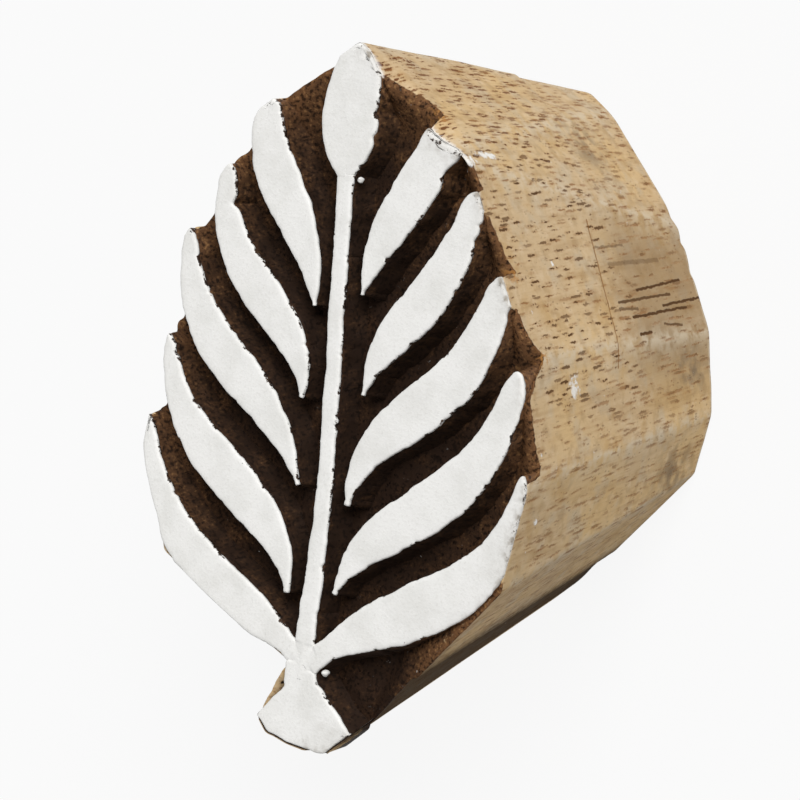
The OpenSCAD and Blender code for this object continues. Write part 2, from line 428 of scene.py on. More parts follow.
def wander(count, length, size, rng):
    """Closed random line: one random value every size mm, joined by the s-curve."""
    knots = rng.normal(size=max(4, int(round(length / size))))
    place = np.arange(count) / count * len(knots)
    low = place.astype(int)
    f = s_curve(place - low)
    return knots[low % len(knots)] * (1 - f) + knots[(low + 1) % len(knots)] * f


def chips(path, normal, every, depth, width, rng):
    """Small bites, a sum of bell curves at random places, deeper where the edge faces down and right."""
    length = len(path) * EDGE_STEP
    count = max(1, int(length / every))
    place = rng.uniform(0, length, count)
    size = width * rng.uniform(0.5, 1.4, count)
    deep = depth * rng.uniform(0.2, 1.0, count) ** 2
    run = np.arange(len(path)) * EDGE_STEP
    off = np.abs(run[:, None] - place)
    off = np.minimum(off, length - off)
    bite = (deep * np.exp(-(off / size) ** 2)).sum(1)
    return bite * (0.35 + 0.65 * np.clip(0.5 + normal @ CHIPPED_WAY, 0, 1))


def cut_edge(path, spine, waves, chip, rng, knocked=0.0):
    """The path moved along its normal by waves - chips - knocks, at most half way in to the spine."""
    normal = outward(path)
    rough = sum(depth * wander(len(path), len(path) * EDGE_STEP, size, rng) for depth, size in waves)
    rough -= chips(path, normal, *chip, rng) + knocked
    half = np.linalg.norm(path - spine, axis=1)
    return path + normal * np.maximum(rough, -0.5 * half)[:, None]


outlines = {}
for seed, (name, (path, spine)) in enumerate(even_edges.items()):
    rng = np.random.default_rng(100 + seed)
    path = cut_edge(path, spine, WOOD_WAVES, WOOD_CHIPS, rng, knocks(path, FACE_KNOCKS))
    outlines[name] = (path, spine, outward(path))
print("outlines roughened:", len(outlines))

# %% [markdown]
# ## From grids to meshes
# Every piece below is a grid of points: rows run up or in, columns run round, and the last column joins
# the first. One helper turns such grids into a mesh, keeps named values at the points for the materials,
# and merges the points that lie on each other at poles and middle lines.

# %% Grid mesh
MM = 0.001
MERGE_DISTANCE = 1e-7
THIN_EDGE = 1e-8


def add_object(name, data):
    """A new object in the scene."""
    made = bpy.data.objects.new(name, data)
    bpy.context.scene.collection.objects.link(made)
    return made


def grid_mesh(name, grids, values):
    """One mesh from closed grids of shape (rows, columns, 3) in mm, with named values at its points."""
    faces = []
    start = 0
    for grid in grids:
        rows, columns = grid.shape[:2]
        here = start + np.arange(rows * columns).reshape(rows, columns)
        after = np.roll(here, -1, 1)
        faces.append(np.stack([here[:-1], after[:-1], after[1:], here[1:]], -1).reshape(-1, 4))
        start += rows * columns
    points = np.concatenate([grid.reshape(-1, 3) for grid in grids]) * MM
    mesh = bpy.data.meshes.new(name)
    mesh.from_pydata(points.tolist(), [], np.concatenate(faces).tolist())
    for label, value in values.items():
        layer = mesh.attributes.new(label, "FLOAT", "POINT")
        layer.data.foreach_set("value", np.concatenate([v.ravel() for v in value]).astype(np.float32))
    work = bmesh.new()
    work.from_mesh(mesh)
    bmesh.ops.remove_doubles(work, verts=work.verts, dist=MERGE_DISTANCE)
    bmesh.ops.dissolve_degenerate(work, edges=work.edges, dist=THIN_EDGE)
    work.to_mesh(mesh)
    work.free()
    mesh.polygons.foreach_set("use_smooth", np.ones(len(mesh.polygons), bool))
    triangles = len(mesh.loops) - 2 * len(mesh.polygons)
    print(f"{name}: {len(mesh.vertices)} points, {triangles} triangles")
    return add_object(name, mesh)


print("points closer than", MERGE_DISTANCE, "m are merged")

# %% [markdown]
# ## Where the carving meets the sides
# Between two leaflet tips each hollow opens through the sawn side. To shape these mouths, the script has
# to know how far a point of the side is from every raised shape. On the right the mouths are deepest
# next to the lower of two leaflets, where the gouge went in, and on the left they are even.

# %% Distance to the raised shapes
def ridge_gaps(points):
    """Signed distance from points to each outline, less than 0 inside, as an array (outlines, points)."""
    gaps = []
    for path, _, _ in outlines.values():
        a = path[::2]
        b = np.roll(a, -1, 0)
        ab = b - a
        ap = points[:, None] - a
        share = np.clip((ap * ab).sum(2) / np.maximum((ab * ab).sum(1), 1e-12), 0, 1)
        gap = np.sqrt(((ap - share[..., None] * ab) ** 2).sum(2)).min(1)
        crosses = (a[:, 1] > points[:, 1:]) != (b[:, 1] > points[:, 1:])
        rise = np.where(np.abs(ab[:, 1]) < 1e-12, 1e-12, ab[:, 1])
        at = a[:, 0] + (points[:, 1:] - a[:, 1]) * ab[:, 0] / rise
        inside = (crosses & (points[:, :1] < at)).sum(1) % 2 == 1
        gaps.append(np.where(inside, -gap, gap))
    return np.array(gaps)


print("a point beside the stem is", round(float(ridge_gaps(np.array([[2.0, 0]])).min()), 2), "mm away")

# %% Depth of the mouths
# Depth of the mouth above each shape: on the right next to that shape, on the left all over
RIGHT_MOUTHS = {
    "bud": 0.3, "right_1": 2.6, "right_2": 0.9, "right_3": 2.9, "right_4": 3.8, "right_5": 2.4,
    "foot": 3.4,
}
LEFT_MOUTHS = {"bud": 2.3, "left_1": 1.5, "left_2": 2.1, "left_3": 3.9, "left_4": 2.8, "left_5": 2.7}
SHALLOW = 0.3
NECK_MOUTH = 1.2
BUD_AT = np.radians(97)
# Beside the fourth right tip a bank was left standing, and above it a nick goes deeper: y, width, amount
BANK = (4.3, 1.6, 0.65)
NICK = (7.2, 0.8, 1.0)


def next_below(mouths, angle, gaps):
    """Depth above the next shape down in each direction, and the share gap above / (above + below)."""
    names = list(outlines)
    own = np.maximum(gaps[[names.index(name) for name in mouths]], 0.01)
    at = np.maximum.accumulate(angle[own.argmin(1)])
    lower = np.clip(np.searchsorted(at, angle), 1, len(at) - 1)
    column = np.arange(len(angle))
    above = own[lower - 1, column]
    return np.array(list(mouths.values()))[lower], above / (above + own[lower, column])


def bell(y, middle, width):
    """Bell curve exp(-((y - middle) / width)^2)."""
    return np.exp(-((y - middle) / width) ** 2)


def mouth_depth(angle, points, gaps):
    """Depth of the hollow at the rim: SHALLOW + (depth - SHALLOW) * share on the right, less the bank and
    more at the nick, and an even depth on the left. Above y = 29 it rises evenly to the bud."""
    x, y = points.T
    from_top = BUD_AT - angle
    right, share = next_below(RIGHT_MOUTHS, from_top % (2 * np.pi), gaps)
    left, _ = next_below(LEFT_MOUTHS, -from_top % (2 * np.pi), gaps)
    by_bud = SHALLOW + 2.3 * np.clip((x - 3.4) / 5.7, 0, 1)
    depth = np.where(x > 0, np.where(y > 29, by_bud, SHALLOW + (right - SHALLOW) * share), left)
    depth = depth * (1 - BANK[2] * (x > 0) * bell(y, *BANK[:2]))
    depth += NICK[2] * (x > 0) * bell(y, *NICK[:2])
    return np.where((x < 0) & (y < -29), NECK_MOUTH, depth)


print("mouths on the right:", len(RIGHT_MOUTHS) - 1, "and on the left:", len(LEFT_MOUTHS) - 1)

# %% [markdown]
# ## The rim of the carving
# Round the top, the sides end in a rim that goes up and down. It is high where a leaflet reaches the
# side and drops into the mouth of each hollow. The lowest leaflets hug the side, and there the rim stays
# high. The rim is tried in many directions first. Columns of the body are then spread evenly along it,
# so its steep parts get enough of them.

# %% Height of the rim in every direction
WALL_LEAN = 0.4
COLUMNS = 740
RIM_TOP = WOOD_TOP - 0.12
TRIES = 8000
TRY_Z = 44.0
# How far the rim keeps up beside a leaflet that hugs the side, and about one spread corner
SIDE_HUG = 0.9
CORNER_HUG = 1.1
SPREAD_CORNER = (15.1, 26.7)
RAGGED = 0.12

theta_try = np.linspace(-np.pi, np.pi, TRIES, endpoint=False)
try_z = np.full(TRIES, TRY_Z)
rim_try = side_point(theta_try, try_z, side_wear(theta_try, try_z))
gaps_try = ridge_gaps(rim_try)
try_x, try_y = rim_try.T
hugs_side = (try_y < -5.5) & (try_y > -29) & ((try_x < 0) | (try_y > -13.5))
from_corner = np.hypot(try_x - SPREAD_CORNER[0], try_y - SPREAD_CORNER[1])
hug = np.maximum(hugs_side * SIDE_HUG, CORNER_HUG * np.exp(-(from_corner / CORNER_HUG) ** 4))
on_ridge_try = 1 - ease(gaps_try.min(0), hug, hug + WALL_LEAN)
depth_try = mouth_depth(theta_try, rim_try, gaps_try)
depth_try = np.convolve(np.pad(depth_try, 15, "wrap"), np.ones(31) / 31, "valid")
rim_flat = with_z(rim_try, np.zeros(TRIES))
ragged = RAGGED * cloud(rim_flat, 0.7, 3) + RAGGED * cloud(rim_flat, 2.0, 4)
rim_z_try = RIM_TOP - (1 - on_ridge_try) * (depth_try + ragged)

rim_line = with_z(rim_try, rim_z_try)
steps = np.diff(rim_line, axis=0, append=rim_line[:1])
run = np.r_[0, np.linalg.norm(steps, axis=1).cumsum()]
even = np.linspace(0, run[-1], COLUMNS, endpoint=False)
theta, rim_z, on_ridge, mouth = (
    np.interp(even, run[:-1], tried) for tried in (theta_try, rim_z_try, on_ridge_try, depth_try))
print(f"rim is {run[-1]:.0f} mm round, from {rim_z.min():.1f} to {rim_z.max():.1f} mm high")

# %% [markdown]
# ## The block: back and sides
# One grid makes the whole block. Its rows start in the middle of the back, go out to the sanded back
# edge, up the sides to the rim, and in over the carved ground to the middle again, so the skin is
# closed. Rows lie closest together under the rim, because that edge is rounded and the stain ends there.

# %% Rows of the back and the sides
RIM_ROUND = 0.2
BACK_ROUND = 1.0
BACK_SET_IN = 0.9
SIDE_FOOT = 1.1
BACK_MIDDLE = np.array([0.0, 4.0, 0.0])

rim_drop = np.array([0, 0.05, 0.12, 0.22, 0.36, 0.56, 0.85, 1.3, 2.0, 3.0])
falls = np.linspace(0, 1, 56)[1:]
low_rim = rim_z - rim_drop[-1]
side_z = np.vstack([rim_z - rim_drop[:, None], low_rim - falls[:, None] * (low_rim - SIDE_FOOT)])[::-1]
below = rim_z - side_z
side_theta = np.broadcast_to(theta, side_z.shape)
wear = side_wear(side_theta, side_z) + rounding(below, RIM_ROUND)
sides = with_z(side_point(side_theta, side_z, wear), side_z)

back_turn = np.linspace(0, np.pi / 2, 6)
back_z = np.repeat(BACK_ROUND * (1 - np.cos(back_turn))[:, None], COLUMNS, 1)
back_theta = np.broadcast_to(theta, back_z.shape)
back_in = side_wear(back_theta, back_z) + BACK_SET_IN * (1 - np.sin(back_turn))[:, None]
back_edge = with_z(side_point(back_theta, back_z, back_in), back_z)
back = BACK_MIDDLE + (back_edge[0] - BACK_MIDDLE) * np.array([0, 0.4, 0.75, 0.93])[:, None, None]
print("rows of the back and sides:", len(back) + len(back_edge) + len(sides))

# %% [markdown]
# ## The block: carved ground
# Between the raised shapes a gouge took the wood down to a rough floor. From the rim the rows run in to
# one point under the leaf. They start at the depth of each mouth and settle to the scooped floor within
# a few millimetres.

# %% The hollowed ground
GROUND_DROP = 0.1
GROUND_MIDDLE = np.array([9.0, -21.0])


def ground_height(points):
    """Height of the carved ground: GROUND_Z - GROUND_DROP, with scoops of about 5 and 2 mm across."""
    flat = with_z(points, np.zeros(points.shape[:-1]))
    return GROUND_Z - GROUND_DROP + 0.30 * cloud(flat, 4.5, 21) + 0.16 * cloud(flat, 1.8, 22)


rim = sides[-1]
reach = np.linalg.norm(rim[:, :2] - GROUND_MIDDLE, axis=1)
near_rim = 1 - np.array([0.35, 0.9, 1.6])[:, None] / reach
further_in = (1 - 2.4 / reach) * np.linspace(1, 0, 26)[:, None]
share = np.vstack([near_rim, further_in])
from_rim = (1 - share) * reach
spread = GROUND_MIDDLE + (rim[:, :2] - GROUND_MIDDLE) * share[..., None]
settle = ease(from_rim, 0.2, 5.0)
ground_z = (RIM_TOP - mouth) * (1 - settle) + ground_height(spread) * settle
ground = with_z(spread, ground_z)
print(f"ground from {ground_z.min():.1f} to {ground_z.max():.1f} mm high")

# %% [markdown]
# ## The block: values for its finish
# The material has to know where the block is carved, chalky, worn (its pale colour partly a painted
# highlight), darkened low on the side as painted shade, or open at a mouth, where the stain is painted
# lighter as painted light. Painting that by hand would not follow a change of the rim. Here each is a
# value from 0 to 1 at every point, worked out from the rim and the sides.

# %% Stored values and the mesh
# Reach in mm of the painted light that makes the stain lighter at the mouths
MOUTH_LIGHT_REACH = 6.5


def mouth_light(points, gap):
    """Painted light, how much lighter the stain is at a mouth: exp(-gap / 6.5), less on left, none by the
    foot.
    """
    x, y = points[..., 0], points[..., 1]
    lit_share = np.maximum(ease(y, -26, -13), ease(x, 9, 16))
    lit_share = lit_share * np.where(x < 0, 0.7 + 0.3 * ease(y, 20, 26), 1.0)
    return np.exp(-np.maximum(gap, 0) / MOUTH_LIGHT_REACH) * lit_share


rim_y = rim[:, 1]
by_notch = (rim[:, 0] < 0) & (rim_y < -29)
carved_side = (1 - on_ridge) * np.exp(-below / 0.45) * np.where(by_notch, 0.3, 1.0)
chalky_side = on_ridge * np.exp(-below / 0.6) * np.where(by_notch, 0.0, 0.45 + 0.55 * ease(rim_y, 22, 26))
chalky_side *= ease(rim_y, -36, -34)
degrees = np.degrees(side_theta)
# Painted shade: the sides darken from the right round to the lower side, and near the rim on the lower
# right
low_side_shade = ease(-degrees, 5, 95) * ease(degrees, -113, -99)
rim_shade = 0.5 * np.exp(-below / 2.6) * ease(-degrees, -5, 30) * ease(degrees, -95, -80)
low_side_shade = np.maximum(low_side_shade, rim_shade)
under_last = ease(spread[..., 0], 8, 15) * ease(-spread[..., 1], 10, 13) * np.exp(-from_rim / 2.5)
by_neck = (spread[..., 0] < 1) * ease(-spread[..., 1], 28, 30) * np.exp(-from_rim / 4.0)
thin_ground = 0.4 * under_last + 0.8 * by_neck

back_rows = len(back) + len(back_edge)
plain = np.zeros((back_rows, COLUMNS))
flat_back = np.zeros((len(back), COLUMNS))
none = np.zeros((len(ground), COLUMNS))
# The pale colour later laid on worn edges is partly rubbed wood, partly a painted highlight
worn_back = np.maximum(facet_edge(back_theta, back_z), 0.8)
block_values = {
    "carved": np.concatenate([plain, carved_side, 1 - thin_ground]),
    "chalky": np.concatenate([plain, chalky_side, none]),
    "worn": np.concatenate([flat_back, worn_back, facet_edge(side_theta, side_z), none]),
    "low_shade": np.concatenate([low_side_shade[:1].repeat(back_rows, 0), low_side_shade, none]),
    "open": np.concatenate([plain, mouth_light(sides, 0.0), mouth_light(spread, from_rim)]),
}
body_grid = np.concatenate([back, back_edge, sides, ground])
block = grid_mesh("block_body", [body_grid], {label: [value] for label, value in block_values.items()})

# %% [markdown]
# ## The raised shapes
# The bud, stem, leaflets and foot stand up from the ground with walls that lean outwards, because a
# chisel is held at a slant. Each one is a profile carried round its outline: up the wall, over the
# shoulder and in to the middle line. The walls get small chisel facets from the random field. Where a
# leaflet meets the sawn side its points are pulled in to just behind that side, so the side runs on over
# its end.

# %% Walls and tops of the raised shapes
# Outward offset from the outline and height; negative offsets run in over the top
WALL_PROFILE = [
    (1.0, GROUND_Z - 1.6), (0.75, GROUND_Z - 0.3), (0.50, GROUND_Z + 0.5), (0.33, GROUND_Z + 1.2),
    (0.20, GROUND_Z + 1.9), (0.09, WOOD_TOP - 0.7), (0.02, WOOD_TOP - 0.25), (-0.06, WOOD_TOP - 0.06),
    (-0.22, WOOD_TOP), (-9.0, WOOD_TOP),
]
TALL_FACETS = np.array([1, 1, 0.6])
# Shapes overlap, so each top lies this much lower than the one before
TOP_STAGGER = 0.004


def carried(path, spine, normal, profile):
    """A profile carried round an outline: outline + normal * offset, or that far towards the spine where
    the offset is less than 0."""
    offset, z = np.array(profile, float).T
    reach = np.maximum(np.linalg.norm(spine - path, axis=1), 1e-6)
    out = path + normal * np.maximum(offset, 0)[:, None, None]
    inner = (spine - path) * np.minimum(np.maximum(-offset, 0)[:, None] / reach, 1)[..., None]
    return with_z(out + inner, np.broadcast_to(z[:, None], out.shape[:2]))


walls = []
deep = []
ridge_mouth_light = []
for number, (path, spine, normal) in enumerate(outlines.values()):
    grid = carried(path, spine, normal, WALL_PROFILE)
    on_wall = ease(grid[..., 2], WOOD_TOP + 0.02, WOOD_TOP - 0.8)
    hewn = 0.16 * cloud(grid * TALL_FACETS, 1.6, 31) + 0.07 * cloud(grid, 0.7, 32)
    grid[..., :2] += normal * (on_wall * hewn)[..., None]
    grid[-3:, :, 2] -= TOP_STAGGER * number
    # Painted light: the stain on the walls is painted lighter near the mouths
    ridge_mouth_light.append(mouth_light(grid, side_gap(grid)[0]))
    behind = 0.04 + 0.25 * ease(WOOD_TOP - grid[..., 2], 0.3, 1.2)
    walls.append(trim(grid, behind + rounding(WOOD_TOP - 0.1 - grid[..., 2], 0.25)))
    deep.append(np.clip((WOOD_TOP - grid[..., 2]) / RELIEF, 0, 1))
ridges = grid_mesh("carved_ridges", walls, {"deep": deep, "open": ridge_mouth_light})

# %% [markdown]
# ## The white coat
# Chalk is rubbed over the raised faces so that the leaf shows, and it stays there as a thin crust. It
# ends in a slightly rolled, crumbly lip along the top of each wall. Each free leaflet has its own coat,
# and the bud, stem, lowest leaflets and foot share one. The same outlines are carried with a thin
# profile. A little extra roughness and more chips make the crust more broken than the wood below it.

# %% Chalk crust on each raised face
COAT_PROFILE = [
    (-9.0, WOOD_TOP - 0.03), (-0.10, WOOD_TOP - 0.03), (0.03, WOOD_TOP - 0.20), (0.06, WOOD_TOP - 0.04),
    (0.05, WOOD_TOP + 0.10), (-0.02, FACE_Z - 0.09), (-0.14, FACE_Z - 0.03), (-0.45, FACE_Z - 0.01),
    (-1.1, FACE_Z - 0.01), (-9.0, FACE_Z - 0.01),
]
EDGE_NEAR = np.array([0, 1, 1, 1, 0.95, 0.75, 0.5, 0.22, 0.06, 0.0])
# Row of the profile that is the lip, and the first row above it
LIP, ABOVE_LIP = 2, 3
# Extra inset of the inner rows where the coat is trimmed, so that rows never cross
ROW_INSET = np.array([0, 0, 0, 0, 0, 0, 0, 0.14, 0.34, 0])[:, None]
COAT_WAVES = [(0.014, 0.5), (0.025, 1.4)]
COAT_CHIPS = (6.0, 0.25, 0.3)
COAT_ROUND = 0.45
COAT_STAGGER = 0.006
SUNK = 0.12


def crust(name, order, others):
    """Grid of one coat: its profile round the frayed outline, sunk where it is inside another shape."""
    path, spine, normal = outlines[name]
    rng = np.random.default_rng(700 + order)
    path = cut_edge(path, spine, COAT_WAVES, COAT_CHIPS, rng)
    grid = carried(path, spine, normal, COAT_PROFILE)
    grid[LIP, :, 2] -= np.abs(0.1 * wander(len(path), len(path) * EDGE_STEP, 0.8, rng))
    grid[ABOVE_LIP:, :, 2] += 0.012 * cloud(grid[ABOVE_LIP:], 1.5, 41) - 0.015
    grid[..., 2] -= COAT_STAGGER * order
    edge = np.repeat(EDGE_NEAR[:, None], len(path), 1)
    if others:
        names = list(outlines)
        gaps = ridge_gaps(path)[[names.index(other) for other in others]]
        inside = ease(-gaps.min(0), -0.1, 0.15)
        edge = edge * (1 - inside)
        grid[..., 2] -= SUNK * inside * (EDGE_NEAR > 0.1)[:, None]
    grid[..., 2] = np.minimum(grid[..., 2], FACE_Z)
    uneven = 0.05 * (1 + cloud(grid, 0.8, 42)) * ease(grid[..., 1] - 20 * (grid[..., 0] < 8), 24, 20)
    uneven += 0.45 * ease(grid[..., 1], -35, -37)
    tip = np.exp(-np.maximum(side_gap(grid)[0], 0) / 0.9) * (grid[..., 0] > 0)
    inset = rounding(FACE_Z - grid[..., 2], COAT_ROUND) + uneven + ROW_INSET
    return trim(grid, inset), edge * (1 - tip), tip


COATS = {f"{side}_coat_{n}": [f"{side}_{n}"] for side in ("left", "right") for n in (1, 2, 3, 4)}
COATS["stem_coat"] = ["stem", "bud", "left_5", "right_5", "foot"]
coats = {}
for node, shapes in COATS.items():
    made = [crust(shape, order, [s for s in shapes if s != shape]) for order, shape in enumerate(shapes)]
    grids, edge, tip = zip(*made)
    coats[node] = grid_mesh(node.replace("coat", "chalk"), grids, {"edge": edge, "tip": tip})

# %% [markdown]
# ## Crumbs of chalk
# Where the chalk was rubbed on, two crumbs of it stuck in the carving: one by the neck of the foot and
# one below the bud. A crumb is a small ball made uneven by the random field. The thinner smears on the
# sides are left to the material.

# %% Crumbs on the face
# Place, half-sizes along x, y and z
CRUMBS = np.array([(1.9, -29.9, 44.2, 0.42, 0.4, 0.5), (1.3, 23.9, 44.3, 0.36, 0.32, 0.45)])
AROUND, UP = 20, 11

round_way = np.linspace(0, 2 * np.pi, AROUND, endpoint=False)
up_way = np.linspace(-np.pi / 2, np.pi / 2, UP)[:, None]
ball = np.stack([
    np.cos(up_way) * np.cos(round_way), np.cos(up_way) * np.sin(round_way),
    np.repeat(np.sin(up_way), AROUND, 1),
], -1)
lumps = []
for crumb in CRUMBS:
    uneven = 1 + 0.3 * cloud(ball * 0.4 + crumb[:3], 0.35, 51)
    lumps.append(crumb[:3] + ball * crumb[3:] * uneven[..., None])
plain_lumps = [np.zeros(lump.shape[:2]) for lump in lumps]
crumbs = grid_mesh("chalk_crumbs", lumps, {"edge": plain_lumps, "tip": plain_lumps})

# %% [markdown]
# ## Shader helpers
# Materials are built from nodes in code, and a few small helpers keep that readable: they add a node and
# fill its inputs, do arithmetic, and lay one colour over another. Colours are written as they look on a
# screen, from 0 to 255, and turned into the linear numbers that the renderer wants.

# %% Node helpers
def colour(red, green, blue):
    """Linear colour from screen values of 0 to 255."""
    c = np.array([red, green, blue]) / 255
    linear = np.where(c <= 0.04045, c / 12.92, ((c + 0.055) / 1.055) ** 2.4)
    return (*linear.tolist(), 1.0)


def put(tree, kind, inputs=None, **settings):
    """Adds a node. An input value that is a socket is linked, and any other is set."""
    node = tree.nodes.new("ShaderNode" + kind)
    for label, value in settings.items():
        setattr(node, label, value)
    for label, value in (inputs or {}).items():
        if isinstance(value, bpy.types.NodeSocket):
            tree.links.new(value, node.inputs[label])
        else:
            node.inputs[label].default_value = value
    return node


def calc(tree, operation, *values):
    """One arithmetic node."""
    return put(tree, "Math", dict(enumerate(values)), operation=operation).outputs[0]


def times(tree, *values):
    """The product of several values."""
    product = values[0]
    for value in values[1:]:
        product = calc(tree, "MULTIPLY", product, value)
    return product


def most(tree, values):
    """The largest of several values."""
    top = values[0]
    for value in values[1:]:
        top = calc(tree, "MAXIMUM", top, value)
    return top


def vector_calc(tree, operation, first, second=None):
    """One vector node. A dot product, length or distance gives a number."""
    inputs = {0: first} if second is None else {0: first, 1: second}
    node = put(tree, "VectorMath", inputs, operation=operation)
    return node.outputs["Value" if operation in ("DOT_PRODUCT", "LENGTH", "DISTANCE") else "Vector"]


print("screen grey 128 is linear", round(colour(128, 128, 128)[0], 3))

# %% Masks, noise and colour blends
def between(tree, value, low, high):
    """Smooth mask: 0 at low, 1 at high. It falls where low is the larger."""
    inputs = {"Value": value, "From Min": low, "From Max": high}
    return put(tree, "MapRange", inputs, interpolation_type="SMOOTHSTEP").outputs[0]


def blend(tree, share, first, second):
    """Colour blend of first and second by share."""
    return put(tree, "Mix", {0: share, 6: first, 7: second}, data_type="RGBA").outputs[2]


def tint(tree, under, mask, share, tone):
    """Lays a colour over another where a mask says, by a share."""
    return blend(tree, times(tree, mask, share), under, colour(*tone))


def noise(tree, vector, scale, detail, roughness=0.5):
    """Fractal noise from 0 to 1, with a scale in cells per metre of object coordinates."""
    inputs = {"Vector": vector, "Scale": scale, "Detail": detail, "Roughness": roughness}
    return put(tree, "TexNoise", inputs).outputs["Fac"]


def stored(tree, name):
    """A value that is kept at the points of the mesh."""
    return put(tree, "Attribute", attribute_name=name).outputs["Fac"]


print("helpers for masks and colours are ready")

# %% [markdown]
# ## Pores
# The wood has open pores, fine tubes that run along the grain. A flat cut slices them into short dark
# dashes. Cells of a Voronoi texture stretched along the grain do the same: the texture fills space, so
# each sawn side slices the cells at its own angle, and the dashes come out right on every side without
# any unwrapping.

# %% Node group for pores
GRAIN_TILT = np.radians(-7)
RIPPLE_SCALE, RIPPLE = 2300.0, 0.0004


def new_group(name, numbers, results):
    """A node group that is given a vector and named numbers. Returns its tree, inputs and results."""
    tree = bpy.data.node_groups.new(name, "ShaderNodeTree")
    tree.interface.new_socket("Vector", in_out="INPUT", socket_type="NodeSocketVector")
    for label in numbers:
        tree.interface.new_socket(label, in_out="INPUT", socket_type="NodeSocketFloat")
    for label in results:
        kind = "NodeSocketColor" if label == "Color" else "NodeSocketFloat"
        tree.interface.new_socket(label, in_out="OUTPUT", socket_type=kind)
    return tree, tree.nodes.new("NodeGroupInput").outputs, tree.nodes.new("NodeGroupOutput").inputs


def use_group(tree, group, inputs):
    """Places a group in a tree and returns its outputs."""
    return put(tree, "Group", inputs, node_tree=group).outputs


def stretched(tree, vector, across, along):
    """Object coordinates in cells: turned so that z follows the grain, divided by the cell size in mm."""
    turned = put(tree, "Mapping", {"Vector": vector, "Rotation": (GRAIN_TILT, 0, 0)}).outputs[0]
    wide = calc(tree, "DIVIDE", 1000.0, across)
    tall = calc(tree, "DIVIDE", 1000.0, along)
    cell = put(tree, "CombineXYZ", {"X": wide, "Y": wide, "Z": tall}).outputs[0]
    return vector_calc(tree, "MULTIPLY", turned, cell)


pore_inputs = ["Across mm", "Along mm", "Size", "Share"]
tree, given, result = new_group("wood_pores", pore_inputs, ["Mask", "Halo"])
wood_pores = tree
ripple_inputs = {"Vector": given["Vector"], "Scale": RIPPLE_SCALE, "Detail": 2.0}
ripple = put(tree, "TexNoise", ripple_inputs).outputs["Color"]
ripple = vector_calc(tree, "SUBTRACT", ripple, (0.5, 0.5, 0.5))
ripple = put(tree, "VectorMath", {0: ripple, "Scale": RIPPLE}, operation="SCALE").outputs[0]
shaken = vector_calc(tree, "ADD", given["Vector"], ripple)
place = stretched(tree, shaken, given["Across mm"], given["Along mm"])
cells = put(tree, "TexVoronoi", {"Vector": place, "Scale": 1.0, "Randomness": 1.0}).outputs
chance = put(tree, "SeparateColor", {"Color": cells["Color"]}).outputs
width = times(tree, given["Size"], calc(tree, "ADD", 0.55, chance["Green"]))
there = calc(tree, "LESS_THAN", chance["Red"], given["Share"])
dark = times(tree, there, calc(tree, "MULTIPLY_ADD", chance["Blue"], 0.55, 0.45))
for label, outer, inner in (("Mask", 0.95, 0.72), ("Halo", 1.7, 0.7)):
    dash = between(tree, cells["Distance"], times(tree, width, outer), times(tree, width, inner))
    tree.links.new(times(tree, dash, dark), result[label])


def pores(tree, vector, across, along, size, share):
    """One kind of pore: the dark dash and the browner halo round it."""
    inputs = {"Vector": vector, "Across mm": across, "Along mm": along, "Size": size, "Share": share}
    kind = use_group(tree, wood_pores, inputs)
    return kind["Mask"], kind["Halo"]


print("made", wood_pores.name, "with", len(wood_pores.nodes), "nodes")

# %% [markdown]
# ## Fibres and patches
# Between the pores the wood is made of fibres, which are noise drawn out along the grain, and its colour
# changes in patches, which are plain noise with soft limits. Both are wanted many times in other sizes,
# so they are groups too.

# %% Node groups for fibres and patches
tree, given, result = new_group("wood_fibre", ["Across mm", "Along mm", "Detail"], ["Value"])
wood_fibre = tree
place = stretched(tree, given["Vector"], given["Across mm"], given["Along mm"])
tree.links.new(noise(tree, place, 1.0, given["Detail"]), result["Value"])

tree, given, result = new_group("soft_patches", ["Size mm", "Detail", "Low", "High"], ["Mask"])
soft_patches = tree
field = noise(tree, given["Vector"], calc(tree, "DIVIDE", 1000.0, given["Size mm"]), given["Detail"])
tree.links.new(between(tree, field, given["Low"], given["High"]), result["Mask"])


def fibres(tree, vector, across, along, detail):
    """Noise drawn out along the grain."""
    inputs = {"Vector": vector, "Across mm": across, "Along mm": along, "Detail": detail}
    return use_group(tree, wood_fibre, inputs)["Value"]


def patches(tree, vector, size, detail, low, high):
    """Mask of soft patches of about size mm."""
    inputs = {"Vector": vector, "Size mm": size, "Detail": detail, "Low": low, "High": high}
    return use_group(tree, soft_patches, inputs)["Mask"]


print("groups:", [g.name for g in bpy.data.node_groups])

# %% [markdown]
# ## The dark stain
# The hollows were painted with a dark, oily stain. It is nearly black deep between the leaflets, and
# browner high on the walls and at the mouths, which is painted light and shade by how deep and open a
# place is. The stain sits on the block and on the raised shapes, so it is a node group with one input
# that says how thin it is.

# %% Node group for the stain
tree, given, result = new_group("dark_stain", ["Thin"], ["Color", "Roughness", "Height"])
dark_stain = tree
vector = given["Vector"]
blotch = noise(tree, vector, 420.0, 4.0, 0.6)
fine = noise(tree, vector, 2100.0, 3.0)
brushed = fibres(tree, vector, 0.22, 2.5, 2.0)
mixed = calc(tree, "ADD", times(tree, blotch, 0.7), times(tree, brushed, 0.3))
amount = calc(tree, "ADD", mixed, calc(tree, "SUBTRACT", given["Thin"], 0.5))
thin = between(tree, amount, 0.02, 0.9)
stain = blend(tree, thin, colour(43, 31, 24), colour(122, 86, 57))
stain = tint(tree, stain, between(tree, fine, 0.44, 0.3), times(tree, thin, 1.1), (152, 114, 74))
stain = tint(tree, stain, between(tree, fine, 0.52, 0.64), 0.8, (25, 18, 14))
tree.links.new(stain, result["Color"])
tree.links.new(calc(tree, "MULTIPLY_ADD", blotch, 0.3, 0.42), result["Roughness"])
tree.links.new(calc(tree, "ADD", blotch, times(tree, fine, 0.4)), result["Height"])
